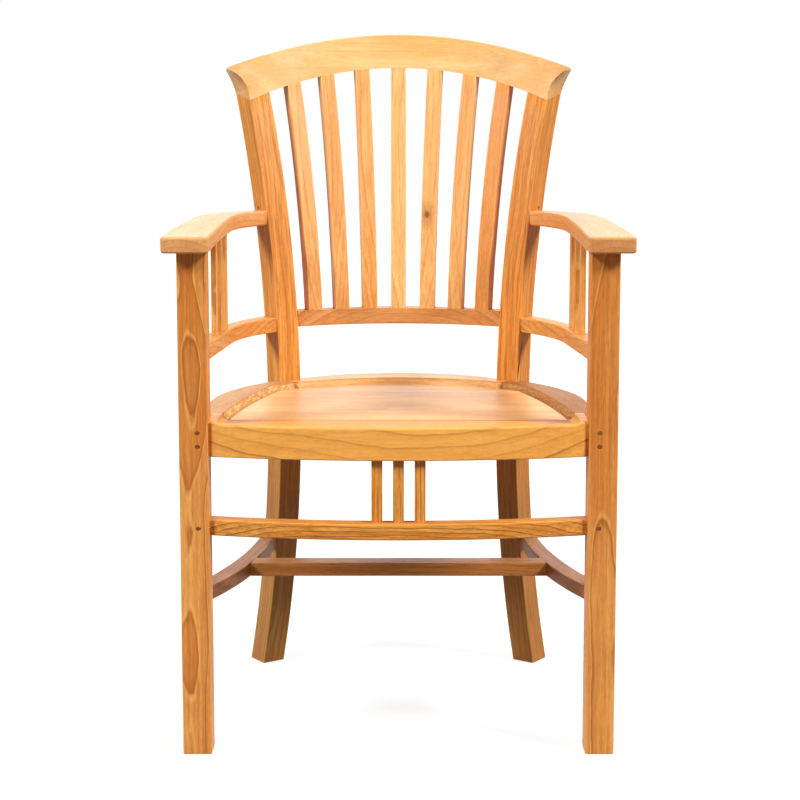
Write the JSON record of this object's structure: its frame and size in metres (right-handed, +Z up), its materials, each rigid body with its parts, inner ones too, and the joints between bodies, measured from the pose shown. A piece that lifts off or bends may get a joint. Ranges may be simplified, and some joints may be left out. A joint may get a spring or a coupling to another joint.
{
  "type": "wooden armchair with a curved fan back",
  "caption": "Open-sided wooden armchair with a dished seat, curved armrests and a raked back whose slats fan out to a curved crest rail with flared ears.",
  "frame": {"origin": "on the floor, at the middle of the chair's width and depth", "axes": "+Z up; the chair faces -Y, so the back is towards +Y; +X is to the right of someone looking at its front"},
  "size_m": [0.606, 0.605, 0.967],
  "materials": {
    "leg_wood": "oiled, satin",
    "crest_wood": "oiled, satin",
    "back_wood": "oiled, satin",
    "arm_wood": "oiled, satin",
    "seat_frame_wood": "oiled, satin",
    "seat_board_wood": "oiled, satin",
    "stretcher_wood": "oiled, satin",
    "peg_wood": "oiled, satin"
  },
  "bodies": {
    "root": {"arm_rail_left": "back_wood", "arm_rail_right": "back_wood", "arm_spindle_left_1": "back_wood", "arm_spindle_left_2": "back_wood", "arm_spindle_left_3": "back_wood", "arm_spindle_right_1": "back_wood", "arm_spindle_right_2": "back_wood", "arm_spindle_right_3": "back_wood", "armrest_left": "arm_wood", "armrest_right": "arm_wood", "back_post_left": "leg_wood", "back_post_right": "leg_wood", "back_slat_1": "back_wood", "back_slat_2": "back_wood", "back_slat_3": "back_wood", "back_slat_4": "back_wood", "back_slat_5": "back_wood", "back_slat_6": "back_wood", "back_slat_7": "back_wood", "crest_rail": "crest_wood", "cross_stretcher": "stretcher_wood", "front_leg_left": "leg_wood", "front_leg_pegs": "peg_wood", "front_leg_right": "leg_wood", "front_spindle_1": "stretcher_wood", "front_spindle_2": "stretcher_wood", "front_spindle_3": "stretcher_wood", "front_stretcher": "stretcher_wood", "lower_back_rail": "back_wood", "seat_back_rail": "seat_frame_wood", "seat_batten": "seat_frame_wood", "seat_board_1": "seat_board_wood", "seat_board_2": "seat_board_wood", "seat_board_3": "seat_board_wood", "seat_board_4": "seat_board_wood", "seat_board_5": "seat_board_wood", "seat_front_rail": "seat_frame_wood", "seat_side_rail_left": "seat_frame_wood", "seat_side_rail_right": "seat_frame_wood", "side_stretcher_left": "stretcher_wood", "side_stretcher_right": "stretcher_wood"}
  },
  "joints": []
}
